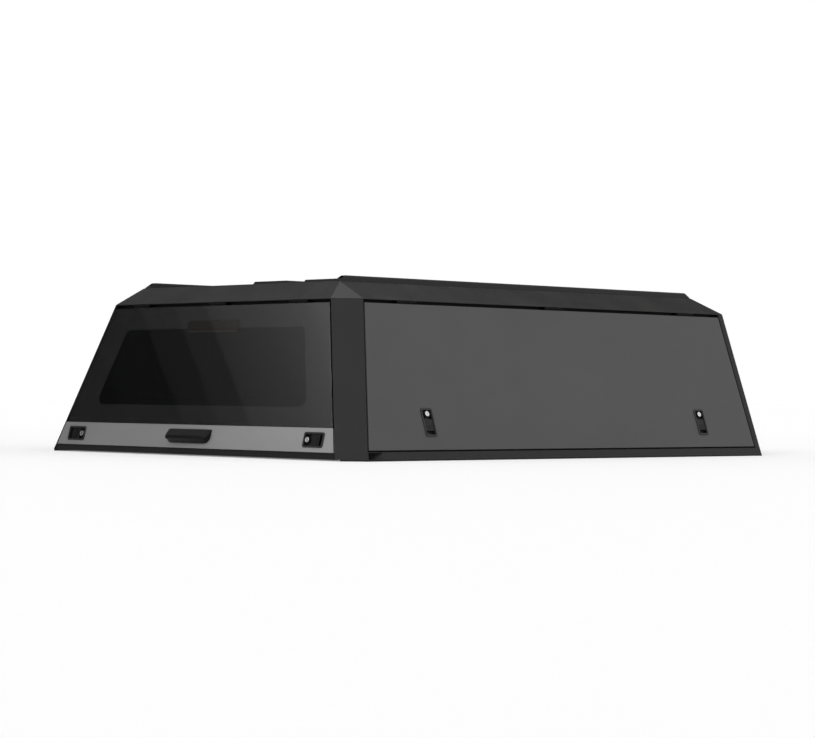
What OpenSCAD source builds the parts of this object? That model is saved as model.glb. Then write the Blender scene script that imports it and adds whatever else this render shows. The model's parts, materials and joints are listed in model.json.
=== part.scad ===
// Pickup truck canopy: a leaning steel shell over a truck bed, with a top-hinged side door on each
// side and a glass rear door. X runs to the right of the vehicle, Y forward to the cab, Z up.
// The origin is in the middle of the footprint, on the plane of the bed rails.

/* [Body] */
// Length of the base along the bed
base_l = 2090; // [1700:10:2400]
// Width of the base across the bed rails
base_w = 1700; // [1500:10:1850]
// Height of the eave above the bed rails
eave_h = 535; // [480:5:620]
// How far each side leans in between the base and the eave
side_in = 185; // [120:5:220]
// How far the rear leans in between the base and the eave
rear_in = 141; // [90:3:180]
// How far the front leans in between the base and the eave
front_in = 17; // [10:1:40]
// Length that the slanted rear corner post takes off each side and off the rear
corner_cut = 76; // [60:2:100]
// Thickness of the steel sheet
sheet_t = 2; // [1.5:0.25:3]

/* [Roof] */
// Rise of the sloped roof edge from the eave to the flat roof
bevel_h = 62; // [45:1:80]
// Run of the sloped roof edge along each side
bevel_side = 130; // [100:5:160]
// Run of the sloped roof edge at the rear
bevel_rear = 87; // [60:1:110]
// Run of the sloped roof edge at the front
bevel_front = 32; // [25:1:60]
// Width of the flange that folds in under the eave
eave_flange_w = 60; // [50:1:75]
// Number of roof bows under the roof
bow_count = 4; // [2:1:6]
// Width of a roof bow with its two flanges
bow_w = 90; // [70:2:110]
// Depth of a roof bow
bow_h = 28; // [20:1:35]

/* [Roof rails] */
// Width of a roof rail
rail_w = 26; // [22:1:32]
// Height of a roof rail
rail_h = 20; // [17:1:24]
// Width of the slot along the top of a roof rail
rail_slot_w = 9; // [7:0.5:11]
// Length of the slope at each end of a roof rail
rail_slope = 30; // [20:1:45]
// Distance from a roof rail to the edge of the flat roof
rail_edge_gap = 3; // [1:0.5:8]

/* [Load strips] */
// Height of the two load strips on the right half of the roof
strip_rise = 10; // [6:1:12]
// Width of a load strip at its foot
load_strip_w = 178; // [140:2:190]
// Gap between the right roof rail and the outer load strip
strip_rail_gap = 3; // [2:0.5:12]
// Gap between the two load strips
strip_between = 91; // [60:1:120]
// Distance from the ends of the load strips to the ends of the flat roof
strip_end_gap = 22; // [15:1:60]
// Slope along the edges of a load strip
strip_chamfer = 5; // [2:0.5:8]
// Wall of the moulded load strips
strip_wall = 3; // [2:0.5:4]

/* [Frame] */
// Thickness of the rubber gasket under the base
gasket_t = 5; // [3:0.5:10]
// Width of the rubber gasket
gasket_w = 60; // [45:1:80]
// Height of the top of the side sill
sill_h = 30; // [25:1:45]
// Width of the boxed part of the side sill
sill_w = 60; // [56:1:75]
// Width of the flange that lies along the bed rail
bed_flange_w = 100; // [90:1:130]
// Thickness of the bed rail flange
bed_flange_t = 3; // [2:0.5:5]
// Depth of the boxed corner post behind its slanted face
post_depth = 45; // [42:1:55]
// Width of the front post beside the side door
front_face_w = 25; // [18:1:40]
// Depth of the front post behind the side of the body
front_post_depth = 70; // [60:1:90]
// Height of the header behind the top of a door
header_h = 50; // [44:1:60]
// How far the frame reaches in behind the edge of a door
landing_w = 25; // [20:1:30]

/* [Doors] */
// Thickness of a door
door_t = 20; // [19:0.5:24]
// Running gap round a door
door_gap = 6; // [5:0.5:8]
// Room between the inside of a door and the frame, for the seal
seal_room = 6; // [4:0.5:9]
// Width of the door seal
seal_w = 11; // [8:0.5:14]
// Clearance between the seal and the door
seal_gap = 0.3; // [0.2:0.1:0.6]
// Height of the bottom edge of the rear door
rear_bottom_h = 27; // [26:1:35]
// Height of the metal strip across the bottom of the rear door
strip_h = 82; // [72:1:95]
// Thickness of the rear glass
glass_t = 5; // [4:0.5:6]
// Width of the dark border at each side of the rear window
band_side_w = 128; // [100:2:150]
// Width of the dark border over the rear window
band_top_w = 82; // [60:2:100]
// Width of the dark border under the rear window
band_bottom_w = 70; // [50:2:90]
// Corner radius of the rear window
window_r = 28; // [10:1:40]
// Width of the rib between the pressed pans of a door's inner panel
inner_rib_w = 90; // [60:5:140]
// Number of pressed pans in a side door's inner panel
inner_pans = 4; // [2:1:6]
// Depth of a pressed pan
pan_depth = 6; // [4:0.5:10]

/* [Hinges] */
// Height of the eave above the hinge axis
hinge_drop = 8; // [7.5:0.5:11]
// Outer radius of a hinge knuckle
knuckle_r = 3.5; // [3:0.1:4]
// Radius of a hinge pin
pin_r = 1.9; // [1.5:0.1:2.2]
// Radial clearance on a hinge pin
pin_clear = 0.05; // [0.03:0.01:0.1]
// Length of one hinge
hinge_l = 90; // [60:2:140]
// Mean distance of the outer side hinges from the ends of the base
side_hinge_end = 325; // [305:5:545]
// Distance of the outer rear hinges from the middle one
rear_hinge_step = 430; // [300:10:460]

/* [Latches] */
// Length of a latch plate
latch_l = 100; // [96:1:120]
// Width of a latch plate
latch_w = 52; // [48:1:60]
// Thickness of a latch plate in front of the door
latch_plate_t = 2; // [1.5:0.25:3]
// Depth of the latch cup behind the door's face
cup_depth = 15; // [13:0.5:16]
// Wall of the latch cup
cup_t = 1.8; // [1.5:0.1:2.5]
// Mean distance of the side latches from the ends of the base
side_latch_edge = 347; // [325:1:445]
// Height of the side latches up the door's face
side_latch_v = 133; // [110:1:200]
// Distance of the rear latches from the outer edge of the base
rear_latch_edge = 200; // [195:1:290]
// Radius of the turning part of a lock
lock_r = 6.5; // [5:0.1:7.5]
// Distance of the lock from the middle of its latch plate
lock_q = 30; // [28:0.5:34]

/* [Rear fittings] */
// Half of the length of the pull handle
handle_half = 118; // [90:1:150]
// Depth of the pull handle behind the rear face
handle_depth = 26; // [18:1:32]
// Height of the pull handle
handle_h = 50; // [40:1:58]
// Half of the length of the third brake light
brake_half = 140; // [100:1:160]
// Height of the third brake light
brake_h = 42; // [30:1:50]
// How far the middle of the brake light is below the eave
brake_drop = 71; // [60:1:80]

/* [Front window] */
// Width of the front window
front_window_w = 980; // [600:10:1100]
// Height of the front window
front_window_h = 270; // [180:5:320]
// How far the middle of the front window is below the eave
front_window_drop = 230; // [215:1:255]
// Corner radius of the front window
front_window_r = 40; // [20:1:60]

/* [Mounts] */
// Radius of a clamp bolt hole in the bed rail flange
bolt_r = 5.25; // [4:0.25:6.5]
// Distance of the clamp bolts from the outer edge of the base
bolt_edge = 80; // [75:1:85]
// Mean distance of the clamp bolts from the ends of the base
bolt_end = 245; // [225:5:445]

/* [Hidden] */
$fn = 48;

dark_steel = [0.20, 0.20, 0.21];
grey_steel = [0.42, 0.42, 0.43];
strip_grey = [0.55, 0.55, 0.56];
black_plastic = [0.05, 0.05, 0.055];
rubber = [0.03, 0.03, 0.03];
rail_black = [0.12, 0.12, 0.125];
glass_grey = [0.15, 0.17, 0.18, 0.6];
bright_metal = [0.6, 0.6, 0.58];
lamp_red = [0.45, 0.05, 0.05];

side_lean = atan(side_in / eave_h);
rear_lean = atan(rear_in / eave_h);
front_lean = atan(front_in / eave_h);
corner_lean = atan((rear_in + side_in) / (sqrt(2) * eave_h));
roof_h = eave_h + bevel_h;
side_slope = eave_h / cos(side_lean);
rear_slope = eave_h / cos(rear_lean);
reach = 3000;
jamb = door_t + seal_room;
cut = 1;

// Profile of the pull handle, as [up the rear face, out from it]
rear_bottom_v = rear_bottom_h / cos(rear_lean);
strip_v = rear_bottom_v + strip_h;
handle_v = rear_bottom_v + strip_h / 2;
handle_low = handle_v - handle_h / 2;
handle_top = handle_v + handle_h / 2;
handle_profile = [
    [handle_low + 2, 0], [handle_low, 4], [handle_low + 9, 9], [handle_low + 12, 13],
    [handle_low + 8, handle_depth - 3], [handle_low + 12, handle_depth],
    [handle_low + 22, handle_depth - 1], [handle_top, 5], [handle_top, 0],
];
handle_overhang = max([for (p = handle_profile) p[1] * cos(rear_lean) - p[0] * sin(rear_lean)]);

// The handle reaches past the base at the rear, so the base lies forward by half of that
rear_y = -(base_l - handle_overhang) / 2;
front_y = rear_y + base_l;

// A face is [a point on it, the way it looks round Z, how far it looks up]
RIGHT = [[base_w / 2, 0, 0], 0, side_lean];
LEFT = [[-base_w / 2, 0, 0], 180, side_lean];
REAR = [[0, rear_y, 0], -90, rear_lean];
FRONT = [[0, front_y, 0], 90, front_lean];
CORNER_RIGHT = [[base_w / 2, rear_y + corner_cut, 0], -45, corner_lean];
CORNER_LEFT = [[-base_w / 2, rear_y + corner_cut, 0], -135, corner_lean];
WALLS = [RIGHT, LEFT, REAR, FRONT, CORNER_RIGHT, CORNER_LEFT];

eave_x = base_w / 2 - side_in;
eave_rear_y = rear_y + rear_in;
eave_front_y = front_y - front_in;

// The corner facet of the roof ends just under the corner of the flat roof
facet_end = 0.97;
facet_up = atan((bevel_rear + bevel_side - corner_cut / facet_end) / (sqrt(2) * bevel_h));
ROOFS = [
    [[eave_x, 0, eave_h], 0, atan(bevel_side / bevel_h)],
    [[-eave_x, 0, eave_h], 180, atan(bevel_side / bevel_h)],
    [[0, eave_rear_y, eave_h], -90, atan(bevel_rear / bevel_h)],
    [[0, eave_front_y, eave_h], 90, atan(bevel_front / bevel_h)],
    [[eave_x, eave_rear_y + corner_cut, eave_h], -45, facet_up],
    [[-eave_x, eave_rear_y + corner_cut, eave_h], -135, facet_up],
    [[0, 0, roof_h], 0, 90],
];
flat_x = eave_x - bevel_side;
flat_rear_y = eave_rear_y + bevel_rear;
flat_front_y = eave_front_y - bevel_front;
flat_mid_y = (flat_rear_y + flat_front_y) / 2;

// Everything on the inner side of a face, moved in by d
module behind(face, d = 0) {
    translate(face[0]) rotate([0, -face[2], face[1]])
        translate([-d - 2 * reach, -reach, -reach]) cube(2 * reach);
}

// The layer between the depths d0 and d1 behind a face
module slab(face, d0, d1) {
    translate(face[0]) rotate([0, -face[2], face[1]])
        translate([-d1, -reach, -reach]) cube([d1 - d0, 2 * reach, 2 * reach]);
}

// The layer between the heights z0 and z1
module level(z0, z1) {
    translate([-reach, -reach, z0]) cube([2 * reach, 2 * reach, z1 - z0]);
}

module walls(d = 0) intersection_for (face = WALLS) behind(face, d);

module roofs(d = 0) intersection_for (face = ROOFS) behind(face, d);

// Drawing planes: x runs along the wall, y up its slope and z out of it
module on_right() translate([base_w / 2, 0, 0]) rotate([0, -side_lean, 0]) rotate([90, 0, 90]) children();

module on_rear() translate([0, rear_y, 0]) rotate([90 - rear_lean, 0, 0]) children();

module on_front() translate([0, front_y, 0]) mirror([0, 1, 0]) rotate([90 - front_lean, 0, 0]) children();

module on_side(side) mirror([side < 0 ? 1 : 0, 0, 0]) on_right() children();

// An extrusion between the distances z0 and z1 out of a drawing plane
module between(z0, z1) translate([0, 0, z0]) linear_extrude(z1 - z0) children();

// A rectangle with round corners, centred
module rounded(l, w, r) {
    square([l - 2 * r, w], center = true);
    square([l, w - 2 * r], center = true);
    for (x = [-1, 1], y = [-1, 1]) translate([x * (l / 2 - r), y * (w / 2 - r)]) circle(r);
}

// A four-sided outline whose ends slope: left and right are [place at the base, shift per mm up]
function sloped_quad(v0, v1, left, right, m = 0) = let(
    ml = m * sqrt(1 + left[1] * left[1]),
    mr = m * sqrt(1 + right[1] * right[1])
) [
    [left[0] + left[1] * (v0 - m) - ml, v0 - m],
    [right[0] + right[1] * (v0 - m) + mr, v0 - m],
    [right[0] + right[1] * (v1 + m) + mr, v1 + m],
    [left[0] + left[1] * (v1 + m) - ml, v1 + m],
];

// An outline, drawn anticlockwise, with each corner rounded to the radius r
function filleted(points, r, steps = 8) = let(n = len(points)) [
    for (i = [0 : n - 1]) let(
        p = points[i],
        back = points[(i + n - 1) % n] - p,
        ahead = points[(i + 1) % n] - p,
        a0 = atan2(back[1], back[0]),
        a1 = atan2(ahead[1], ahead[0]),
        turn = (a0 - a1 + 720) % 360,
        mid = a1 + turn / 2,
        centre = p + r / sin(turn / 2) * [cos(mid), sin(mid)]
    ) for (k = [0 : steps]) let(angle = a0 + 90 + k * (180 - turn) / steps)
        centre + r * [cos(angle), sin(angle)]
];

// Side door outline on the side's drawing plane, grown by m
leaf_t = 1.8;
leaf_gap = 0.5;
knuckle_gap = knuckle_r + leaf_gap + leaf_t;
side_axis_v = (eave_h - hinge_drop) / cos(side_lean);
side_door_v0 = sill_h / cos(side_lean) + door_gap;
side_door_v1 = side_axis_v - knuckle_gap;
side_rear_shift = rear_in / side_slope;
side_front_shift = -front_in / side_slope;
side_rear_edge = rear_y + corner_cut + door_gap * sqrt(1 + side_rear_shift * side_rear_shift);
side_front_edge = front_y - front_face_w - door_gap;

function side_outline(m = 0, top = side_door_v1) = sloped_quad(
    side_door_v0, top, [side_rear_edge, side_rear_shift], [side_front_edge, side_front_shift], m);

// Places on the walls that follow the ends of the base and the eave
brake_v = eave_h - brake_drop;
front_window_v = eave_h - front_window_drop;
rear_latch_x = base_w / 2 - rear_latch_edge;
side_latch_x = base_l / 2 - side_latch_edge;
side_hinge_step = base_l / 2 - side_hinge_end;
bolt_half_l = base_l / 2 - bolt_end;

// Rear door outline on the rear's drawing plane, grown by m
rear_axis_v = (eave_h - hinge_drop) / cos(rear_lean);
rear_door_v1 = rear_axis_v - knuckle_gap;
rear_edge_shift = -side_in / rear_slope;
rear_edge = base_w / 2 - corner_cut - door_gap * sqrt(1 + rear_edge_shift * rear_edge_shift);

function rear_outline(m = 0, low = rear_bottom_v, top = rear_door_v1) = sloped_quad(
    low, top, [-rear_edge, -rear_edge_shift], [rear_edge, rear_edge_shift], m);

// The space that a door fills in the frame, with its running gap, grown by m on every side
module side_pocket(side, m = 0) {
    on_side(side) between(-jamb - m, reach) polygon(side_outline(door_gap + m, side_slope + 50));
}

module rear_pocket(m = 0) {
    on_rear() between(-jamb - m, reach) polygon(rear_outline(door_gap + m, -50, rear_slope + 50));
}

// The clear way through the frame behind a door, smaller than the door by the landing, grown by m
module side_way(side, m = 0) {
    on_side(side) between(-4 * jamb, -jamb / 2)
        polygon(side_outline(m - landing_w, side_slope - header_h / cos(side_lean) + landing_w));
}

module rear_way(m = 0) {
    on_rear() between(-4 * jamb, -jamb / 2)
        polygon(rear_outline(m - landing_w, -50, rear_slope - header_h / cos(rear_lean) + landing_w));
}

frame_top = eave_h - sheet_t;
front_post_w = front_face_w + 2 * door_gap + landing_w;

// Roof
flange_step = 0.2;

module roof_panel() {
    color(dark_steel) {
        difference() {
            intersection() {
                roofs();
                level(eave_h, roof_h + cut);
            }
            intersection() {
                roofs(sheet_t);
                level(eave_h - cut, roof_h);
            }
        }
        intersection() {
            difference() {
                walls(flange_step);
                walls(eave_flange_w);
            }
            level(frame_top, eave_h);
        }
    }
}

module bow_profile() {
    half = bow_w / 2;
    top = bow_w / 4;
    difference() {
        polygon([[-half, 0], [half, 0], [half, -sheet_t], [top + 6, -sheet_t], [top, -bow_h],
            [-top, -bow_h], [-top - 6, -sheet_t], [-half, -sheet_t]]);
        polygon([[top + 6 - sheet_t, cut], [top - sheet_t, sheet_t - bow_h],
            [sheet_t - top, sheet_t - bow_h], [sheet_t - top - 6, cut]]);
    }
}

module roof_bows() {
    pitch = (flat_front_y - flat_rear_y) / bow_count;
    color(dark_steel) intersection() {
        roofs(sheet_t + 0.01);
        for (n = [0.5 : 1 : bow_count])
            translate([-flat_x, flat_rear_y + n * pitch, roof_h - sheet_t])
                rotate([90, 0, 90]) linear_extrude(2 * flat_x) bow_profile();
    }
}

rail_x = flat_x - rail_edge_gap - rail_w / 2;

module rail_profile() {
    lip = 3;
    groove = rail_w - 10;
    difference() {
        polygon([[-rail_w / 2, 0], [rail_w / 2, 0], [rail_w / 2, rail_h - 4],
            [rail_w / 2 - 3, rail_h], [3 - rail_w / 2, rail_h], [-rail_w / 2, rail_h - 4]]);
        translate([-rail_slot_w / 2, rail_h - lip - cut]) square([rail_slot_w, lip + 2 * cut]);
        translate([-groove / 2, rail_h - lip - 8]) square([groove, 8]);
    }
}

module roof_rail(side) {
    half_l = (flat_front_y - flat_rear_y) / 2 - 2;
    color(rail_black) translate([side * rail_x, flat_mid_y, roof_h]) intersection() {
        rotate([90, 0, 0]) translate([0, 0, -half_l]) linear_extrude(2 * half_l) rail_profile();
        rotate([90, 0, 90]) translate([0, 0, -rail_w]) linear_extrude(2 * rail_w)
            polygon([[-half_l, 0], [half_l, 0], [half_l, 2], [half_l - rail_slope, rail_h],
                [rail_slope - half_l, rail_h], [-half_l, 2]]);
    }
}

module roof_rail_left() roof_rail(-1);

module roof_rail_right() roof_rail(1);

// A bar along x with its length and width at the foot, and all its upper edges sloped
module sloped_bar(l, w, h, slope) {
    intersection() {
        rotate([90, 0, 0]) translate([0, 0, -w / 2]) linear_extrude(w)
            polygon([[-l / 2, 0], [l / 2, 0], [l / 2 - slope, h], [slope - l / 2, h]]);
        rotate([90, 0, 90]) translate([0, 0, -l / 2]) linear_extrude(l)
            polygon([[-w / 2, 0], [w / 2, 0], [w / 2 - slope, h], [slope - w / 2, h]]);
    }
}

module roof_strips() {
    strip_l = flat_front_y - flat_rear_y - 2 * strip_end_gap;
    outer_x = rail_x - (rail_w + load_strip_w) / 2 - strip_rail_gap;
    color(rail_black)
        for (x = [outer_x - load_strip_w - strip_between, outer_x])
            translate([x, flat_mid_y, roof_h]) difference() {
                sloped_bar(load_strip_w, strip_l, strip_rise, strip_chamfer);
                translate([0, 0, -strip_wall])
                    sloped_bar(load_strip_w - 2 * strip_wall, strip_l - 2 * strip_wall, strip_rise, strip_chamfer);
            }
}

// Front
module front_window_outline(m) {
    translate([0, front_window_v])
        rounded(front_window_w + 2 * m, front_window_h + 2 * m, front_window_r + m);
}

module front_wall() {
    color(dark_steel) intersection() {
        behind(RIGHT, front_post_depth);
        behind(LEFT, front_post_depth);
        level(gasket_t, frame_top);
        difference() {
            union() {
                slab(FRONT, 0, sheet_t);
                intersection() {
                    slab(FRONT, 0, front_post_w);
                    level(gasket_t, gasket_t + bed_flange_t);
                }
                intersection() {
                    slab(FRONT, 0, eave_flange_w);
                    level(frame_top - sheet_t, frame_top);
                }
            }
            on_front() between(-sheet_t - cut, cut) front_window_outline(0);
        }
    }
}

seal_lip = 8;

module front_window_seal() {
    color(rubber) on_front() difference() {
        between(-sheet_t - 4, 3) front_window_outline(seal_lip);
        between(-sheet_t - 5, 4) front_window_outline(-seal_lip);
        between(-sheet_t, 0) difference() {
            front_window_outline(seal_lip + cut);
            front_window_outline(0);
        }
        between(-3, 1) front_window_outline(-2);
    }
}

module front_window() {
    color(glass_grey) on_front() between(-3, 1) front_window_outline(-2);
}

// Side frames
function corner(side) = side > 0 ? CORNER_RIGHT : CORNER_LEFT;

function flank(side) = side > 0 ? RIGHT : LEFT;

module corner_post(side) {
    color(dark_steel) difference() {
        intersection() {
            slab(corner(side), 0, post_depth);
            behind(flank(side));
            behind(REAR);
            level(gasket_t, frame_top);
        }
        side_pocket(side);
        side_way(side);
        rear_pocket();
        rear_way();
        difference() {
            slab(corner(side), sheet_t, post_depth - sheet_t);
            side_pocket(side, sheet_t);
            side_way(side, sheet_t);
            rear_pocket(sheet_t);
            rear_way(sheet_t);
        }
    }
}

module left_corner_post() corner_post(-1);

module right_corner_post() corner_post(1);

module front_post(side) {
    color(dark_steel) difference() {
        intersection() {
            slab(FRONT, 0, front_post_w);
            slab(flank(side), 0, front_post_depth);
            level(gasket_t, frame_top);
        }
        side_pocket(side);
        side_way(side);
        difference() {
            slab(FRONT, sheet_t, front_post_w - sheet_t);
            behind(flank(side), front_post_depth - sheet_t);
            slab(flank(side), -cut, sheet_t);
            side_pocket(side, sheet_t);
            side_way(side, sheet_t);
        }
    }
}

module left_front_post() front_post(-1);

module right_front_post() front_post(1);

// The stretch of a side between its corner post and its front post
module side_run(side) intersection() {
    behind(corner(side), post_depth);
    behind(FRONT, front_post_w);
}

module sill(side) {
    flange_top = gasket_t + bed_flange_t;
    color(dark_steel) intersection() {
        side_run(side);
        difference() {
            union() {
                intersection() {
                    slab(flank(side), 0, sill_w);
                    level(gasket_t, sill_h + 2 * door_gap + landing_w);
                }
                intersection() {
                    slab(flank(side), 0, bed_flange_w);
                    level(gasket_t, flange_top);
                }
            }
            side_pocket(side);
            side_way(side);
            difference() {
                intersection() {
                    slab(flank(side), sheet_t, sill_w - sheet_t);
                    level(flange_top, sill_h + 2 * door_gap + landing_w - sheet_t);
                }
                side_pocket(side, sheet_t);
                side_way(side, sheet_t);
            }
            for (y = [-bolt_half_l, bolt_half_l])
                translate([side * (base_w / 2 - bolt_edge), y, 0]) cylinder(r = bolt_r, h = 2 * flange_top);
        }
    }
}

module left_sill() sill(-1);

module right_sill() sill(1);

// A channel behind the top of a door, closed by the flange of the roof
module header_channel(face) difference() {
    intersection() {
        slab(face, jamb, eave_flange_w);
        level(eave_h - header_h, frame_top);
    }
    intersection() {
        slab(face, jamb + sheet_t, eave_flange_w - sheet_t);
        level(eave_h - header_h + sheet_t, eave_h);
    }
}

module side_header(side) {
    color(dark_steel) intersection() {
        side_run(side);
        header_channel(flank(side));
    }
}

module left_header() side_header(-1);

module right_header() side_header(1);

module rear_header() {
    color(dark_steel) intersection() {
        behind(CORNER_RIGHT, post_depth);
        behind(CORNER_LEFT, post_depth);
        header_channel(REAR);
    }
}

module bed_gasket() {
    color(rubber) {
        for (side = [-1, 1]) intersection() {
            slab(flank(side), 0, gasket_w);
            behind(corner(side));
            behind(FRONT, gasket_w + cut);
            level(0, gasket_t);
        }
        intersection() {
            slab(FRONT, 0, gasket_w);
            behind(RIGHT);
            behind(LEFT);
            level(0, gasket_t);
        }
    }
}

module seal_ring(side) {
    on_side(side) between(-jamb, -door_t - seal_gap) difference() {
        polygon(side_outline(-door_gap));
        polygon(side_outline(-door_gap - seal_w));
    }
}

module left_door_seal() color(rubber) seal_ring(-1);

module right_door_seal() color(rubber) seal_ring(1);

module rear_door_seal() {
    color(rubber) on_rear() between(-jamb, -door_t - seal_gap) difference() {
        polygon(rear_outline(-door_gap, rear_bottom_v));
        polygon(rear_outline(-door_gap - seal_w, -50));
    }
}

// Hinges: drawn about their own axis, x along it, y up and z out
knuckle_half = hinge_l / 6;
pin_end = 1.2;
web_low = 0.7;
web_end = 0.4;

module axis_rod(r, l) rotate([0, 90, 0]) cylinder(r = r, h = l, center = true);

module frame_hinge(lean) {
    leaf_l = jamb - 1;
    top = hinge_drop - sheet_t;
    web = knuckle_r - 1;
    rotate([lean, 0, 0]) translate([-hinge_l / 2, top - leaf_t, -leaf_l]) cube([hinge_l, leaf_t, leaf_l]);
    axis_rod(pin_r, hinge_l + 2 * pin_end);
    for (end = [-1, 1]) {
        l = hinge_l / 2 - knuckle_half - 0.5;
        translate([end * (hinge_l / 2 - l / 2), 0, 0]) {
            axis_rod(knuckle_r, l);
            rotate([lean, 0, 0]) translate([web_end - l / 2, web_low, -web])
                cube([l - 2 * web_end, top - web_low - 1, web + web_low]);
        }
    }
}

module door_hinge() {
    web = knuckle_r - 1;
    difference() {
        union() {
            axis_rod(knuckle_r, 2 * knuckle_half);
            translate([-knuckle_half, -knuckle_gap, -web]) cube([2 * knuckle_half, knuckle_gap, web]);
            translate([-hinge_l / 2, -knuckle_gap, leaf_t - door_t])
                cube([hinge_l, leaf_t, door_t - leaf_t]);
        }
        axis_rod(pin_r + pin_clear, hinge_l);
    }
}

side_hinge_mid = (side_rear_edge + side_rear_shift * side_door_v1
    + side_front_edge + side_front_shift * side_door_v1) / 2;

module side_hinges_at(side) {
    for (n = [-1, 0, 1]) on_side(side)
        translate([side_hinge_mid + n * side_hinge_step, side_axis_v, 0]) children();
}

module rear_hinges_at() {
    for (n = [-1, 0, 1]) on_rear() translate([n * rear_hinge_step, rear_axis_v, 0]) children();
}

module frame_hinges() {
    color(dark_steel) {
        for (side = [-1, 1]) side_hinges_at(side) frame_hinge(side_lean);
        rear_hinges_at() frame_hinge(rear_lean);
    }
}

module left_door_hinges() color(dark_steel) side_hinges_at(-1) door_hinge();

module right_door_hinges() color(dark_steel) side_hinges_at(1) door_hinge();

module rear_door_hinges() color(dark_steel) rear_hinges_at() door_hinge();

// Latches: drawn with x along the plate towards the lock, y across it and z out of the door
cup_l = latch_l - 10;
cup_w = latch_w - 8;
lever_q = 10;
lever_pin_r = 1.6;
lever_barrel_r = 3.4;
lever_depth = 3.4;
lever_side_gap = 1.5;
finger_room = 14;

module latch_hole() rounded(cup_l + 1, cup_w + 1, 6.5);

module bezel() {
    difference() {
        union() {
            between(0, latch_plate_t) rounded(latch_l, latch_w, 8);
            between(-cup_depth, cut) rounded(cup_l, cup_w, 6);
        }
        between(cup_t - cup_depth, latch_plate_t + cut) rounded(cup_l - 2 * cup_t, cup_w - 2 * cup_t, 6 - cup_t);
    }
    translate([lever_q, 0, -lever_depth]) rotate([90, 0, 0])
        cylinder(r = lever_pin_r, h = cup_w - cup_t, center = true);
    translate([lock_q, 0, 0]) difference() {
        between(cup_t / 2 - cup_depth, latch_plate_t) circle(lock_r + 3);
        between(-cup_depth / 2, latch_plate_t + cut) circle(lock_r + 0.2);
    }
}

module lock_plug() {
    translate([lock_q, 0, 0]) difference() {
        between(-cup_depth / 2, latch_plate_t + 1) circle(lock_r);
        between(latch_plate_t - 3, latch_plate_t + 2) square([8, 1.4], center = true);
    }
}

module lever() {
    half_w = cup_w / 2 - cup_t - lever_side_gap;
    low = cup_t + finger_room - cup_l / 2;
    translate([lever_q, 0, -lever_depth]) difference() {
        union() {
            rotate([90, 0, 0]) cylinder(r = lever_barrel_r, h = 2 * half_w, center = true);
            translate([low - lever_q, -half_w, lever_barrel_r - 2.4])
                cube([lever_q - low, 2 * half_w, 2.4]);
            translate([low - lever_q, -half_w, lever_barrel_r - 7]) cube([2, 2 * half_w, 7]);
        }
        rotate([90, 0, 0]) cylinder(r = lever_pin_r + pin_clear, h = cup_w, center = true);
    }
}

side_latch_mid = (side_rear_edge + side_rear_shift * side_latch_v
    + side_front_edge + side_front_shift * side_latch_v) / 2;

module side_latch_at(side, end) {
    on_side(side) translate([side_latch_mid + end * side_latch_x, side_latch_v, 0])
        rotate([0, 0, 90]) children();
}

module rear_latch_at(end) {
    on_rear() translate([end * rear_latch_x, handle_v, 0]) rotate([0, 0, end > 0 ? 180 : 0]) children();
}

module left_latch_bezels() color(black_plastic) for (end = [-1, 1]) side_latch_at(-1, end) bezel();

module right_latch_bezels() color(black_plastic) for (end = [-1, 1]) side_latch_at(1, end) bezel();

module rear_latch_bezels() color(black_plastic) for (end = [-1, 1]) rear_latch_at(end) bezel();

module left_locks() color(bright_metal) for (end = [-1, 1]) side_latch_at(-1, end) lock_plug();

module right_locks() color(bright_metal) for (end = [-1, 1]) side_latch_at(1, end) lock_plug();

module rear_locks() color(bright_metal) for (end = [-1, 1]) rear_latch_at(end) lock_plug();

module left_lever_front() color(black_plastic) side_latch_at(-1, 1) lever();

module left_lever_rear() color(black_plastic) side_latch_at(-1, -1) lever();

module right_lever_front() color(black_plastic) side_latch_at(1, 1) lever();

module right_lever_rear() color(black_plastic) side_latch_at(1, -1) lever();

module rear_lever_left() color(black_plastic) rear_latch_at(-1) lever();

module rear_lever_right() color(black_plastic) rear_latch_at(1) lever();

// Side doors
module door_skin(side) {
    color(grey_steel) difference() {
        on_side(side) difference() {
            between(sheet_t - door_t, 0) polygon(side_outline());
            between(-door_t, -sheet_t) polygon(side_outline(-sheet_t));
        }
        for (end = [-1, 1]) side_latch_at(side, end) between(-sheet_t - cut, cut) latch_hole();
    }
}

module left_door_skin() door_skin(-1);

module right_door_skin() door_skin(1);

module inner_panel(side) {
    first = side_rear_edge + side_rear_shift * side_door_v1 + landing_w + inner_rib_w / 2;
    last = side_front_edge + side_front_shift * side_door_v1 - landing_w - inner_rib_w / 2;
    pitch = (last - first) / inner_pans;
    low = side_latch_v + latch_l / 2 + 25;
    high = side_door_v1 - 55;
    places = [for (n = [0 : inner_pans - 1]) [first + (n + 0.5) * pitch, (low + high) / 2]];
    color(grey_steel) on_side(side) difference() {
        union() {
            between(-door_t, sheet_t - door_t) polygon(side_outline());
            for (p = places) translate(p)
                between(-door_t, pan_depth + sheet_t - door_t)
                    rounded(pitch - inner_rib_w / 2, high - low, 30);
        }
        for (p = places) translate(p)
            between(-door_t - cut, pan_depth - door_t)
                rounded(pitch - inner_rib_w / 2 - 2 * sheet_t, high - low - 2 * sheet_t, 30 - sheet_t);
    }
}

module left_door_inner_panel() inner_panel(-1);

module right_door_inner_panel() inner_panel(1);

// Rear door
band_low_v = strip_v + band_bottom_w;
band_top_v = rear_door_v1 - band_top_w;

function window_outline() = sloped_quad(
    band_low_v, band_top_v, [band_side_w - rear_edge, -rear_edge_shift],
    [rear_edge - band_side_w, rear_edge_shift]);

module window_shape() polygon(filleted(window_outline(), window_r));

glass_low_v = strip_v + 1;

module rear_glass() {
    color(glass_grey) on_rear() between(-glass_t, 0) polygon(rear_outline(0, glass_low_v));
}

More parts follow.
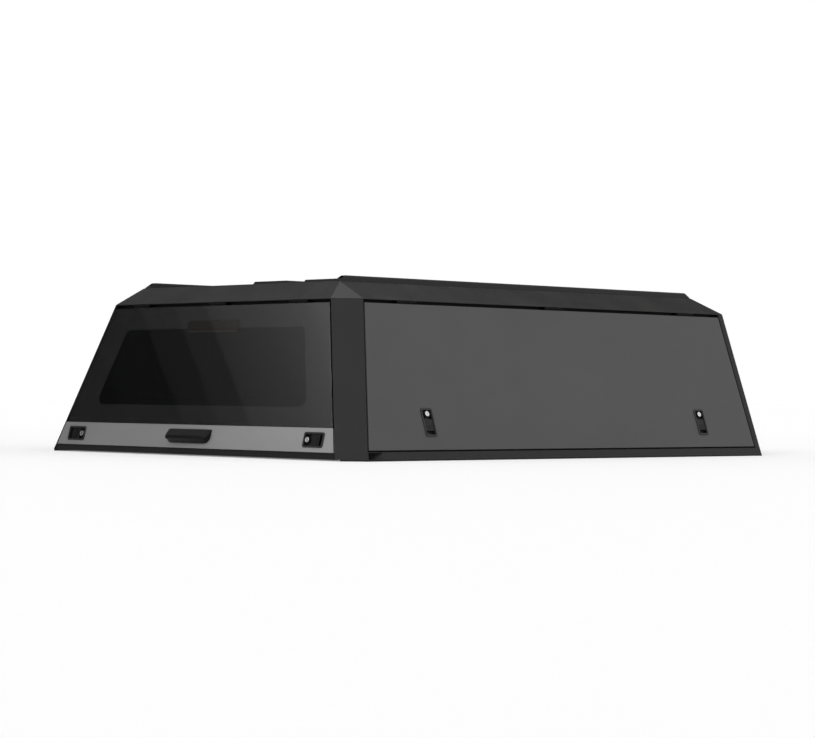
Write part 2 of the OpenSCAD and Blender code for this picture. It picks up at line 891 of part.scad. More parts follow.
module rear_door_frame() {
    color(black_plastic) on_rear() difference() {
        between(-door_t, -glass_t) polygon(rear_outline(0, glass_low_v));
        between(-door_t - cut, cut) window_shape();
        between(-door_t - cut, cut) translate([0, brake_v]) square([2 * brake_half + 2, brake_h + 2], center = true);
    }
}

module brake_light() {
    color(lamp_red) on_rear() translate([0, brake_v]) between(-door_t, -glass_t - 0.3)
        square([2 * brake_half, brake_h], center = true);
}

module rear_lower_panel() {
    color(strip_grey) on_rear() difference() {
        between(-door_t, 0) polygon(rear_outline(0, rear_bottom_v, strip_v));
        between(-door_t - cut, -sheet_t) polygon(rear_outline(-sheet_t, rear_bottom_v, strip_v));
        for (end = [-1, 1]) translate([end * rear_latch_x, handle_v]) between(-sheet_t - cut, cut) latch_hole();
    }
}

module rear_bottom_seal() {
    low_v = rear_bottom_v - 20;
    color(rubber) on_rear() between(4 - door_t, -4) polygon(rear_outline(0, low_v, rear_bottom_v));
}

module rear_pull_handle() {
    color(black_plastic) on_rear() intersection() {
        translate([-handle_half, 0, 0]) rotate([90, 0, 90]) linear_extrude(2 * handle_half) polygon(handle_profile);
        translate([0, handle_top, 0]) rotate([90, 0, 0]) linear_extrude(2 * handle_h)
            polygon([[-handle_half, 0], [handle_half, 0], [handle_half, 4],
                [handle_half - 20, handle_depth + cut], [20 - handle_half, handle_depth + cut], [-handle_half, 4]]);
    }
}

roof_panel();
roof_bows();
roof_rail_left();
roof_rail_right();
roof_strips();
front_wall();
front_window();
front_window_seal();
left_front_post();
right_front_post();
left_corner_post();
right_corner_post();
left_sill();
right_sill();
left_header();
right_header();
rear_header();
bed_gasket();
left_door_seal();
right_door_seal();
rear_door_seal();
frame_hinges();
left_door_skin();
left_door_inner_panel();
left_door_hinges();
left_latch_bezels();
left_locks();
left_lever_front();
left_lever_rear();
right_door_skin();
right_door_inner_panel();
right_door_hinges();
right_latch_bezels();
right_locks();
right_lever_front();
right_lever_rear();
rear_glass();
rear_door_frame();
rear_lower_panel();
rear_pull_handle();
rear_door_hinges();
rear_latch_bezels();
rear_locks();
rear_lever_left();
rear_lever_right();
brake_light();
rear_bottom_seal();
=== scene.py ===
"""Looks of the pickup truck canopy: finishes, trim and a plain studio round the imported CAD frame.

Lengths are in metres. X runs to the vehicle's right, Y forward to the cab, Z up, and the canopy
stands on the floor on its bed gasket, as it is stored off the truck.
"""

import json
import math
from collections import namedtuple

import bmesh
import bpy
from mathutils import Matrix, Vector


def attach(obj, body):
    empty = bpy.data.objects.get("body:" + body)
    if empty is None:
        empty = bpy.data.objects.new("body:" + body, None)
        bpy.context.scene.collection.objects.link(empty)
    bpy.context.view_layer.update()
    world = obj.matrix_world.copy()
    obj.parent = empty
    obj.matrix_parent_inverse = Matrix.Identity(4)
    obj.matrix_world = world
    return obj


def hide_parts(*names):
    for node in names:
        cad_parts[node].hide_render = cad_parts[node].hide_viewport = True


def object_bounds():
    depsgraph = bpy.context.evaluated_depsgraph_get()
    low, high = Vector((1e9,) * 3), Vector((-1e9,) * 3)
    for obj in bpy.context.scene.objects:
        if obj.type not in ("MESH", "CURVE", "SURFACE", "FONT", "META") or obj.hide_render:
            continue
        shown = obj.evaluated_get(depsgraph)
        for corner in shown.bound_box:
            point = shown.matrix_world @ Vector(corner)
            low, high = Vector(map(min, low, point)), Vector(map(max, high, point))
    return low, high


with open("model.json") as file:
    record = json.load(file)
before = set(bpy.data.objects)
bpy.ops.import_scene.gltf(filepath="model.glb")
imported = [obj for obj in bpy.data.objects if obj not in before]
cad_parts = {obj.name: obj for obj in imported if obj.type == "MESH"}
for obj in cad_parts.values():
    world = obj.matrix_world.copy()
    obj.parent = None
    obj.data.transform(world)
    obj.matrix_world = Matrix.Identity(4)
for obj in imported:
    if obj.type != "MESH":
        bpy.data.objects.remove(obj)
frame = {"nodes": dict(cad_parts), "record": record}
cad_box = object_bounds()

# The shell's sizes, as in the CAD source; the IN values are how far each wall leans in at the eave
BASE_L = 2.09
BASE_W = 1.70
EAVE_H = 0.535
SIDE_IN = 0.185
REAR_IN = 0.141
FRONT_IN = 0.017
CORNER_CUT = 0.076
SILL_H = 0.030
FRONT_FACE_W = 0.025

# The doors' sizes, as in the CAD source; the overhang is how far the handle passes the rear foot
DOOR_T = 0.020
DOOR_GAP = 0.006
REAR_BOTTOM_H = 0.027
STRIP_H = 0.082
HINGE_DROP = 0.008
KNUCKLE_GAP = 0.0058
SEAL_W = 0.011
SEAL_ROOM = 0.006
SEAL_GAP = 0.0003
HANDLE_OVERHANG = 0.0108898

# What follows from them: the walls' ends, and their lengths up the slope
REAR_Y = cad_box[0].y + HANDLE_OVERHANG
FRONT_Y = REAR_Y + BASE_L
SIDE_SLOPE = math.hypot(EAVE_H, SIDE_IN)
REAR_SLOPE = math.hypot(EAVE_H, REAR_IN)
FRONT_SLOPE = math.hypot(EAVE_H, FRONT_IN)

# The brake light's lens behind the rear glass, on the rear plane
LAMP_HALF = 0.140
LAMP_H = 0.042
LAMP_V = 0.464
LAMP_FRONT = -0.0056

# What shows of it through the glass: the lens, and a painted highlight, a lighter strip along its foot
# where its ledge catches the light
LAMP_LEDGE = 0.005
LAMP_TINT = (0.22, -0.06, -0.2)
LENS_LEVEL = 18
LEDGE_HIGHLIGHT_LEVEL = 34


# Materials
def srgb(level, tint=(0.0, 0.0, 0.0)):
    """A linear colour from a grey level of 0 to 255; the tint is a share of it for each channel."""
    grey = level / 255
    linear = grey / 12.92 if grey <= 0.04045 else ((grey + 0.055) / 1.055) ** 2.4
    return tuple(max(0.0, linear + t * linear) for t in tint) + (1.0,)


DUST_COLOUR = srgb(150, (0.03, 0.0, -0.05))


class Graph:
    """A material's node tree, with short ways to add and join nodes."""

    def __init__(self, name):
        self.material = bpy.data.materials.new(name)
        self.material.use_nodes = True
        self.nodes = self.material.node_tree.nodes
        self.links = self.material.node_tree.links
        self.nodes.clear()
        self.shader = self.add("ShaderNodeBsdfPrincipled")
        self.output = self.add("ShaderNodeOutputMaterial")
        self.join(self.shader.outputs[0], self.output.inputs[0])
        self.place = self.add("ShaderNodeTexCoord").outputs["Object"]

    def add(self, kind, **settings):
        node = self.nodes.new(kind)
        for name, value in settings.items():
            setattr(node, name, value)
        return node

    def join(self, source, target):
        """Joins a socket to an input, and sets anything else as the input's value."""
        if isinstance(source, bpy.types.NodeSocket):
            self.links.new(source, target)
        else:
            target.default_value = source

    def feed(self, node, **values):
        """Joins or sets a node's inputs by name."""
        for name, value in values.items():
            self.join(value, node.inputs[name.replace("_", " ")])

    def noise(self, scale, detail=2.0, roughness=0.5, stretch=None):
        """Noise that is fixed to the piece, about 0 to 1."""
        place = self.place
        if stretch:
            mapping = self.add("ShaderNodeMapping")
            self.feed(mapping, Vector=place, Scale=stretch)
            place = mapping.outputs[0]
        node = self.add("ShaderNodeTexNoise")
        self.feed(node, Vector=place, Scale=scale, Detail=detail, Roughness=roughness)
        return node.outputs["Fac"]

    def spread(self, source, low, high, to_low=0.0, to_high=1.0):
        """Turns the range low to high into to_low to to_high, with soft ends."""
        node = self.add("ShaderNodeMapRange", interpolation_type="SMOOTHSTEP")
        self.feed(node, Value=source, From_Min=low, From_Max=high, To_Min=to_low, To_Max=to_high)
        return node.outputs[0]

    def math(self, operation, a, b=0.0):
        node = self.add("ShaderNodeMath", operation=operation)
        self.join(a, node.inputs[0])
        self.join(b, node.inputs[1])
        return node.outputs[0]

    def mix(self, share, a, b):
        """Mixes two colours. The node has an A and a B for each kind of data, so they go by number."""
        node = self.add("ShaderNodeMix", data_type="RGBA")
        self.join(share, node.inputs[0])
        self.join(a, node.inputs[6])
        self.join(b, node.inputs[7])
        return node.outputs[2]

    def edges(self, radius):
        """A mask that is 1 along sharp outer and inner edges, and the rounded normal there."""
        bevel = self.add("ShaderNodeBevel", samples=4)
        self.feed(bevel, Radius=radius)
        geometry = self.add("ShaderNodeNewGeometry")
        likeness = self.add("ShaderNodeVectorMath", operation="DOT_PRODUCT")
        self.join(bevel.outputs[0], likeness.inputs[0])
        self.join(geometry.outputs["Normal"], likeness.inputs[1])
        return self.spread(likeness.outputs["Value"], 0.995, 0.86), bevel.outputs[0]

    def upward(self):
        """1 where the surface looks up."""
        geometry = self.add("ShaderNodeNewGeometry")
        split = self.add("ShaderNodeSeparateXYZ")
        self.join(geometry.outputs["Normal"], split.inputs[0])
        return self.spread(split.outputs["Z"], 0.3, 1.0)

    def bump(self, layers, normal=None):
        """Stacks (height, depth in metres) layers of bump, the broadest first."""
        for height, depth in layers:
            node = self.add("ShaderNodeBump")
            self.feed(node, Height=height, Distance=depth, Strength=1.0)
            if normal is not None:
                self.join(normal, node.inputs["Normal"])
            normal = node.outputs[0]
        self.join(normal, self.shader.inputs["Normal"])


def coated(name, level, rough, grain, peel, wear, dust=0.05, gloss=0.5, metallic=0.0, fold=0.0011,
           tint=(0, 0, 0)):
    """Powder coat, paint, moulded plastic or rubber: mottled, grained, worn along its edges.

    grain and peel are (scale, depth) of the fine and the broad layer of bump, and fold is the
    radius of the rounded edges.
    """
    g = Graph(name)
    base = srgb(level, tint)
    light = srgb(level * 1.03 + 1, tint)
    worn = srgb(level * 1.35 + 18, tint)
    cloud = g.spread(g.noise(2.3, 4.0, 0.6), 0.3, 0.7)
    fine = g.noise(grain[0], 3.0, 0.6)
    colour = g.mix(cloud, base, light)
    edge, rounded = g.edges(fold)
    patchy = g.spread(g.noise(38.0, 4.0, 0.65), 0.42, 0.7)
    worn_here = g.math("MULTIPLY", g.math("MULTIPLY", edge, patchy), wear)
    colour = g.mix(worn_here, colour, worn)
    settled = g.math("MULTIPLY", g.upward(), g.spread(g.noise(7.0, 6.0, 0.7), 0.35, 0.75, 0.2, 1.0))
    colour = g.mix(g.math("MULTIPLY", settled, dust), colour, DUST_COLOUR)
    smear = g.spread(g.noise(5.5, 5.0, 0.65, (1.0, 1.0, 2.5)), 0.3, 0.75, rough - 0.015, rough + 0.025)
    g.feed(g.shader, Base_Color=colour, Roughness=smear, Metallic=metallic, Specular_IOR_Level=gloss)
    g.bump([(g.noise(peel[0], 2.0), peel[1]), (fine, grain[1])], rounded)
    return g.material


def printed_border(name, level):
    """The ceramic print behind the rim of the rear glass."""
    g = Graph(name)
    colour = g.mix(g.spread(g.noise(3.0, 4.0, 0.6), 0.3, 0.7), srgb(level), srgb(level * 1.05))
    g.feed(g.shader, Base_Color=colour, Roughness=0.6, Specular_IOR_Level=0.1)
    return g.material


def lamp_patch(g):
    """1 on the glass in front of the brake light's lens, and 1 on the painted highlight along the lens'
    foot.
    """
    split = g.add("ShaderNodeSeparateXYZ")
    g.join(g.place, split.inputs[0])
    across = g.math("LESS_THAN", g.math("ABSOLUTE", split.outputs["X"]), LAMP_HALF)
    height = split.outputs["Z"]
    foot, top = ((LAMP_V + half * LAMP_H) * EAVE_H / REAR_SLOPE for half in (-0.5, 0.5))
    above = g.math("MULTIPLY", across, g.math("GREATER_THAN", height, foot))
    below = [g.math("LESS_THAN", height, upper) for upper in (top, foot + LAMP_LEDGE)]
    return [g.math("MULTIPLY", above, within) for within in below]


def tinted_glass(name, tint, bend=1.5, lamp=False):
    """Toughened glass with a body tint, faint roller waves and a light film of dust."""
    g = Graph(name)
    film = g.spread(g.noise(9.0, 6.0, 0.7), 0.45, 0.8, 0.002, 0.02)
    colour, clear = tint, 1.0
    g.shader.inputs["Transmission Weight"].default_value = 1.0
    if lamp:
        # With lamp, the brake light's lens is painted on the glass, with a painted highlight along the
        # lens' foot
        lens, ledge_highlight = lamp_patch(g)
        colour = g.mix(lens, tint, srgb(LENS_LEVEL, LAMP_TINT))
        colour = g.mix(ledge_highlight, colour, srgb(LEDGE_HIGHLIGHT_LEVEL, LAMP_TINT))
        clear = g.math("SUBTRACT", 1.0, lens)
    g.feed(g.shader, Base_Color=colour, Roughness=film, IOR=bend, Transmission_Weight=clear)
    g.bump([(g.noise(1.6, 1.0, 0.4, (1.0, 1.0, 3.0)), 0.0006)])
    return g.material


def bright_metal(name, level, rough):
    """Plated metal: faintly blotched, with a fine grain and a softened edge."""
    g = Graph(name)
    colour = g.mix(g.spread(g.noise(60.0, 4.0), 0.35, 0.7), srgb(level), srgb(level * 0.85))
    g.feed(g.shader, Base_Color=colour, Metallic=1.0,
           Roughness=g.spread(g.noise(900.0, 2.0), 0.2, 0.8, rough - 0.06, rough + 0.1))
    g.bump([(g.noise(1400.0, 2.0), 0.00003)], g.edges(0.0004)[1])
    return g.material


DARK_PAINT = coated("dark_powder_coat", level=37, rough=0.5, grain=(1500.0, 0.00006),
                    peel=(420.0, 0.00005), wear=0.3, gloss=0.12)
ROOF_PAINT = coated("roof_powder_coat", level=33, rough=0.4, grain=(1500.0, 0.00006),
                    peel=(420.0, 0.00005), wear=0.05, gloss=0.25, fold=0.003)
DOOR_PAINT = coated("satin_grey_paint", level=70, rough=0.42, grain=(1900.0, 0.00003),
                    peel=(300.0, 0.00004), wear=0.3, gloss=0.2)
# The rear strip's light level is partly its own lighter paint and partly a painted highlight of the light
# that falls on it from behind and above
STRIP_PAINT_AND_HIGHLIGHT = coated("metallic_grey_paint_and_highlight", level=153, rough=0.34, grain=(1900.0, 0.00003),
                     peel=(300.0, 0.00004), wear=0.2, metallic=0.5)
RAIL_BLACK = coated("black_anodising", level=22, rough=0.36, grain=(700.0, 0.00004),
                    peel=(90.0, 0.00003), wear=0.5, gloss=0.2)
# The hinges' near-black level is painted shade: it darkens the gap under the eave, above the doors
HINGE_PAINT_AND_GAP_SHADE = coated("hinge_paint_with_painted_gap_shade", level=8, rough=0.7, grain=(900.0, 0.00004),
                     peel=(200.0, 0.00003), wear=0.1, dust=0.02, gloss=0.08)
PLASTIC = coated("grained_black_plastic", level=14, rough=0.42, grain=(1300.0, 0.00009),
                 peel=(500.0, 0.00006), wear=0.5, dust=0.04, gloss=0.2)
BEZEL_GREY = coated("moulded_bezel", level=32, rough=0.4, grain=(1300.0, 0.00006),
                    peel=(500.0, 0.00005), wear=0.3, dust=0.04, gloss=0.3)
HANDLE_BLACK = coated("moulded_handle", level=7, rough=0.45, grain=(1300.0, 0.00004),
                      peel=(500.0, 0.00004), wear=0.2, dust=0.02, gloss=0.12)
RUBBER = coated("black_rubber", level=12, rough=0.72, grain=(900.0, 0.00008),
                peel=(160.0, 0.00008), wear=0.25, dust=0.1, gloss=0.25)
STRIP_BLACK = coated("load_strip_moulding", level=18, rough=0.5, grain=(900.0, 0.0001),
                     peel=(300.0, 0.00008), wear=0.3, dust=0.04, gloss=0.2)
FRIT = printed_border("ceramic_border", level=10)
LAMP = coated("lamp_lens", level=38, rough=0.2, grain=(200.0, 0.0002),
              peel=(90.0, 0.0002), wear=0.1, dust=0.0, tint=(0.7, -0.2, -0.45))
BORDER_GLASS = tinted_glass("border_glass", (0.20, 0.20, 0.20, 1.0), bend=1.55, lamp=True)
WINDOW_GLASS = tinted_glass("privacy_glass", (0.06, 0.062, 0.062, 1.0), lamp=True)
CLEAR_GLASS = tinted_glass("front_glass", (0.35, 0.37, 0.37, 1.0))
NICKEL = bright_metal("satin_nickel", level=205, rough=0.24)
ZINC = bright_metal("zinc_plate", level=150, rough=0.4)

FINISH_BY_SLOT = {
    "dark_painted_steel": DARK_PAINT,
    "grey_painted_steel": DOOR_PAINT,
    "strip_grey_steel": STRIP_PAINT_AND_HIGHLIGHT,
    "black_aluminium": RAIL_BLACK,
    "black_plastic": PLASTIC,
    "rubber": RUBBER,
    "tinted_glass": BORDER_GLASS,
    "lock_metal": NICKEL,
    "lamp_lens": LAMP,
    "strip_black": STRIP_BLACK,
}
FINISH_BY_NODE = {"rear_door_frame": FRIT, "front_window": CLEAR_GLASS, "roof_panel": ROOF_PAINT}
# The hinges along the eave get the near-black paint that paints the shade in the gap under the eave
for owner in ("frame", "left_door", "right_door", "rear_door"):
    FINISH_BY_NODE[f"{owner}_hinges"] = HINGE_PAINT_AND_GAP_SHADE
for owner in ("left", "right", "rear"):
    FINISH_BY_NODE[f"{owner}_latch_bezels"] = BEZEL_GREY


def finish(node, material):
    """Gives a CAD node one material, in every slot that it has."""
    if node.data.materials:
        for n in range(len(node.data.materials)):
            node.data.materials[n] = material
    else:
        node.data.materials.append(material)


for part in frame["record"]["subparts"]:
    own_finish = FINISH_BY_NODE.get(part["node"], FINISH_BY_SLOT[part["material_slot"]])
    finish(frame["nodes"][part["node"]], own_finish)


# Drawing planes, as in the CAD source
class Plane:
    """A wall's own plane: u runs along it, v up its slope and w out of it."""

    def __init__(self, origin, u, v, w):
        self.origin, self.u, self.v, self.w = Vector(origin), Vector(u), Vector(v), Vector(w)

    def at(self, u, v, w=0.0):
        return self.origin + self.u * u + self.v * v + self.w * w

    def matrix(self, u, v, w=0.0, turn=0.0):
        """Places a piece that is drawn round its own origin, turned in the plane."""
        basis = Matrix((self.u, self.v, self.w)).transposed()
        return Matrix.Translation(self.at(u, v, w)) @ (basis @ Matrix.Rotation(turn, 3, "Z")).to_4x4()


def leaning(side):
    """The plane of the left (-1) or right (1) side."""
    sin, cos = SIDE_IN / SIDE_SLOPE, EAVE_H / SIDE_SLOPE
    return Plane((side * BASE_W / 2, 0, 0), (0, 1, 0), (-side * sin, 0, cos), (side * cos, 0, sin))


SIDE_PLANE = {"left": leaning(-1), "right": leaning(1)}
REAR_PLANE = Plane((0, REAR_Y, 0), (1, 0, 0), (0, REAR_IN / REAR_SLOPE, EAVE_H / REAR_SLOPE),
                   (0, -EAVE_H / REAR_SLOPE, REAR_IN / REAR_SLOPE))
FRONT_PLANE = Plane((0, FRONT_Y, 0), (1, 0, 0), (0, -FRONT_IN / FRONT_SLOPE, EAVE_H / FRONT_SLOPE),
                    (0, EAVE_H / FRONT_SLOPE, FRONT_IN / FRONT_SLOPE))


def sloped_quad(v0, v1, left, right, grow=0.0):
    """A four-sided outline whose ends slope; left and right are (place at the base, shift per v)."""
    more_left = grow * math.hypot(1, left[1])
    more_right = grow * math.hypot(1, right[1])
    low, high = v0 - grow, v1 + grow
    return [(left[0] + left[1] * low - more_left, low), (right[0] + right[1] * low + more_right, low),
            (right[0] + right[1] * high + more_right, high), (left[0] + left[1] * high - more_left, high)]


# Door outlines on their planes; a SHIFT is how far an end moves along u for each metre of v
SIDE_DOOR_TOP = (EAVE_H - HINGE_DROP) * SIDE_SLOPE / EAVE_H - KNUCKLE_GAP
SIDE_DOOR_LOW = SILL_H * SIDE_SLOPE / EAVE_H + DOOR_GAP
SIDE_REAR_SHIFT = REAR_IN / SIDE_SLOPE
SIDE_FRONT_SHIFT = -FRONT_IN / SIDE_SLOPE
SIDE_REAR_EDGE = REAR_Y + CORNER_CUT + DOOR_GAP * math.hypot(1, SIDE_REAR_SHIFT)
SIDE_FRONT_EDGE = FRONT_Y - FRONT_FACE_W - DOOR_GAP
REAR_DOOR_TOP = (EAVE_H - HINGE_DROP) * REAR_SLOPE / EAVE_H - KNUCKLE_GAP
REAR_DOOR_LOW = REAR_BOTTOM_H * REAR_SLOPE / EAVE_H
REAR_SHIFT = -SIDE_IN / REAR_SLOPE
REAR_EDGE = BASE_W / 2 - CORNER_CUT - DOOR_GAP * math.hypot(1, REAR_SHIFT)
STRIP_TOP = REAR_DOOR_LOW + STRIP_H


def side_outline(grow=0.0):
    return sloped_quad(SIDE_DOOR_LOW, SIDE_DOOR_TOP, (SIDE_REAR_EDGE, SIDE_REAR_SHIFT),
                       (SIDE_FRONT_EDGE, SIDE_FRONT_SHIFT), grow)


def rear_outline(grow=0.0, low=REAR_DOOR_LOW):
    return sloped_quad(low, REAR_DOOR_TOP, (-REAR_EDGE, -REAR_SHIFT), (REAR_EDGE, REAR_SHIFT), grow)


# Mesh code: an outline is a list of (u, v), and a shape is (points, faces)
def arc_points(centre, radius, start, sweep, steps):
    """Points along an arc, both ends included; the angles are in radians."""
    angles = [start + sweep * n / steps for n in range(steps + 1)]
    return [(centre[0] + radius * math.cos(a), centre[1] + radius * math.sin(a)) for a in angles]


def oval_points(width, height, rise, degrees):
    """Points of an oval of these half sizes, whose middle is raised, at whole degrees."""
    angles = [math.radians(a) for a in degrees]
    return [(width * math.cos(a), rise + height * math.sin(a)) for a in angles]


def rounded_rectangle(length, width, radius, steps=6):
    """A closed outline round its own origin, anticlockwise."""
    points = []
    for quarter, (x, y) in enumerate(((1, 1), (-1, 1), (-1, -1), (1, -1))):
        centre = (x * (length / 2 - radius), y * (width / 2 - radius))
        points += arc_points(centre, radius, math.radians(90 * quarter), math.pi / 2, steps)
    return points


def filleted(corners, radius, steps):
    """Rounds the corners of an outline that is drawn anticlockwise."""
    points = []
    for n, corner in enumerate(corners):
        here = Vector(corner)
        back = (Vector(corners[n - 1]) - here).normalized()
        ahead = (Vector(corners[(n + 1) % len(corners)]) - here).normalized()
        half = back.angle(ahead) / 2
        centre = here + (back + ahead).normalized() * radius / math.sin(half)
        start = math.atan2(*(here + back * radius / math.tan(half) - centre).yx)
        points += arc_points(centre, radius, start, math.pi - 2 * half, steps)
    return points


def half_round(radius, rise=0.0):
    """The profile of a bead that stands on the plane and reaches a little into what carries it."""
    depth = 0.0006
    foot = [(-radius, rise - depth), (radius, rise - depth)]
    return arc_points((0.0, rise), radius, 0.0, math.pi, 8) + foot


def swept(profile, path, closed=True):
    """Sweeps a closed profile of (sideways, outward) along a path of (u, v) with mitred corners."""
    count, ring = len(path), len(profile)
    points, faces = [], []
    for n, (u, v) in enumerate(path):
        before = Vector(path[n - 1]) if closed or n else None
        after = Vector(path[(n + 1) % count]) if closed or n < count - 1 else None
        here = Vector((u, v))
        into = (here - before).normalized() if before is not None else (after - here).normalized()
        out = (after - here).normalized() if after is not None else into
        mitre = Vector((into.y + out.y, -into.x - out.x))
        mitre /= max(0.2, mitre.length_squared / 2)     # 0.2 keeps a very sharp corner short
        points += [(u + mitre.x * a, v + mitre.y * a, w) for a, w in profile]
    for n in range(count if closed else count - 1):
        start, end = n * ring, (n + 1) % count * ring
        for k in range(ring):
            nxt = (k + 1) % ring
            faces.append((start + k, start + nxt, end + nxt, end + k))
    if not closed:
        faces += [tuple(range(ring)), tuple(range((count - 1) * ring, count * ring))]
    return points, faces


def turned(profile, steps):
    """Turns a profile of (radius, height) round the w axis; a radius of 0 closes that end."""
    points, faces, rings = [], [], []
    angles = [2 * math.pi * n / steps for n in range(steps)]
    for radius, height in profile:
        if radius == 0:
            rings.append([len(points)] * steps)
            points.append((0, 0, height))
        else:
            rings.append(list(range(len(points), len(points) + steps)))
            points += [(radius * math.cos(a), radius * math.sin(a), height) for a in angles]
    for low, high in zip(rings, rings[1:]):
        for n in range(steps):
            face = (low[n], low[(n + 1) % steps], high[(n + 1) % steps], high[n])
            faces.append(tuple(dict.fromkeys(face)))
    return points, faces


def piece(name, placed, material, body, smooth=35.0, bevel=None):
    """Makes one object from (shape, matrix) pairs and lets it ride on a body.

    Edges that turn by more than smooth degrees stay sharp; bevel is (width, segments).
    """
    mesh = bpy.data.meshes.new(name)
    grid = bmesh.new()
    for (points, faces), matrix in placed:
        corners = [grid.verts.new(matrix @ Vector(p)) for p in points]
        for face in faces:
            grid.faces.new([corners[n] for n in face])
    bmesh.ops.recalc_face_normals(grid, faces=grid.faces)
    for face in grid.faces:
        face.smooth = True
    for edge in grid.edges:
        if len(edge.link_faces) == 2 and edge.calc_face_angle() > math.radians(smooth):
            edge.smooth = False
    grid.to_mesh(mesh)
    grid.free()
    made = bpy.data.objects.new(name, mesh)
    bpy.context.scene.collection.objects.link(made)
    mesh.materials.append(material)
    if bevel:
        modifier = made.modifiers.new("rounding", "BEVEL")
        modifier.width, modifier.segments = bevel
        modifier.limit_method = "ANGLE"
        modifier.angle_limit = math.radians(25)
        modifier.harden_normals = True
    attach(made, body)
    return made


# Bulb seals round the doorways; the rear one is open below, where the door has its own seal
def bulb_profile():
    """A foot that sticks to the frame, and a bulb that the door presses on."""
    back = -DOOR_T - SEAL_ROOM
    front = -DOOR_T - SEAL_GAP
    foot = 0.0012
    bulb = (front - back - foot) / 2
    arc = oval_points(bulb * 1.25, bulb, front - bulb, range(-50, 231, 20))
    edge = SEAL_W / 2
    return [(-edge, back), (edge, back), (edge, back + foot)] + arc + [(-edge, back + foot)]


for side, plane in SIDE_PLANE.items():
    ring = side_outline(-DOOR_GAP - SEAL_W / 2)
    seal = piece(f"{side}_bulb_seal", [(swept(bulb_profile(), ring), plane.matrix(0, 0))], RUBBER, "root")
    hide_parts(f"{side}_door_seal")
low_left, low_right, high_right, high_left = rear_outline(-DOOR_GAP - SEAL_W / 2)
reach = REAR_SHIFT * (REAR_DOOR_LOW - low_left[1])
rear_run = [(low_right[0] + reach, REAR_DOOR_LOW), high_right, high_left,
            (low_left[0] - reach, REAR_DOOR_LOW)]
rear_sweep = swept(bulb_profile(), rear_run, closed=False)
seal = piece("rear_bulb_seal", [(rear_sweep, REAR_PLANE.matrix(0, 0))], RUBBER, "root")
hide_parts("rear_door_seal")

# Front window: a rubber strip round the pane, with the groove of its locking bead
WINDOW_W = 0.980
WINDOW_H = 0.270
WINDOW_V = 0.305
WINDOW_R = 0.040
STRIP_HALF = 0.008
outside = oval_points(STRIP_HALF, 0.0031, 0.0, range(0, 181, 15))
inside = oval_points(STRIP_HALF, 0.0035, -0.0025, range(180, 361, 15))
groove = [(0.0004, 0.0024), (-0.0004, 0.0024)]
locking = outside[:6] + groove + outside[7:] + inside
strip_sweep = swept(locking, rounded_rectangle(WINDOW_W, WINDOW_H, WINDOW_R, 10))
seal = piece("front_window_strip", [(strip_sweep, FRONT_PLANE.matrix(0, WINDOW_V))], RUBBER, "root")
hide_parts("front_window_seal")

# Latches: a raised rim and a lock ring on each plate, and grip ridges on each lever
LATCH_L = 0.100
LATCH_W = 0.052
PLATE_T = 0.002
LOCK_Q = 0.030
RIM_EDGE = 0.0026
SIDE_LATCH_V = 0.133
SIDE_LATCH_X = 0.698
REAR_LATCH_X = 0.650
SIDE_LATCH_MID = ((SIDE_REAR_EDGE + SIDE_REAR_SHIFT * SIDE_LATCH_V)
                  + (SIDE_FRONT_EDGE + SIDE_FRONT_SHIFT * SIDE_LATCH_V)) / 2
HANDLE_V = REAR_DOOR_LOW + STRIP_H / 2
RIDGE_HALF = 0.0135
RIDGE_PLACES = (-0.0255, -0.0215, -0.0175, -0.0135, -0.0095)
rim = swept(half_round(0.0013, PLATE_T),
            rounded_rectangle(LATCH_L - 2 * RIM_EDGE, LATCH_W - 2 * RIM_EDGE, 0.0054))
lock_ring = turned([(0.0068, 0.0018), (0.0068, 0.0030), (0.0074, 0.0034), (0.0084, 0.0034),
                    (0.0090, 0.0030), (0.0090, 0.0018)], 28)
ridge = swept(half_round(0.0008), [(0.0, -RIDGE_HALF), (0.0, RIDGE_HALF)], closed=False)

Latch = namedtuple("Latch", "body lever plane u v turn")
latches = []
for side, plane in SIDE_PLANE.items():
    for end, word in ((1, "front"), (-1, "rear")):
        latches.append(Latch(f"{side}_door", f"{side}_lever_{word}", plane,
                             SIDE_LATCH_MID + end * SIDE_LATCH_X, SIDE_LATCH_V, math.pi / 2))
for end, word, turn in ((-1, "left", 0.0), (1, "right", math.pi)):
    latches.append(Latch("rear_door", f"rear_lever_{word}", REAR_PLANE, end * REAR_LATCH_X, HANDLE_V, turn))


def placed_on_latch(shape, latch, x=0.0):
    """Puts a shape on a latch, x along it from its middle."""
    return shape, latch.plane.matrix(latch.u, latch.v, 0.0, latch.turn) @ Matrix.Translation((x, 0.0, 0.0))


for body in ("left_door", "right_door", "rear_door"):
    own = [latch for latch in latches if latch.body == body]
    rims = [placed_on_latch(rim, latch) for latch in own]
    piece(f"{body}_latch_rims", rims, BEZEL_GREY, body)
    lock_rings = [placed_on_latch(lock_ring, latch, LOCK_Q) for latch in own]
    piece(f"{body}_lock_rings", lock_rings, NICKEL, body)
for latch in latches:
    ridges = [placed_on_latch(ridge, latch, x) for x in RIDGE_PLACES]
    piece(f"{latch.lever}_ridges", ridges, PLASTIC, latch.lever)

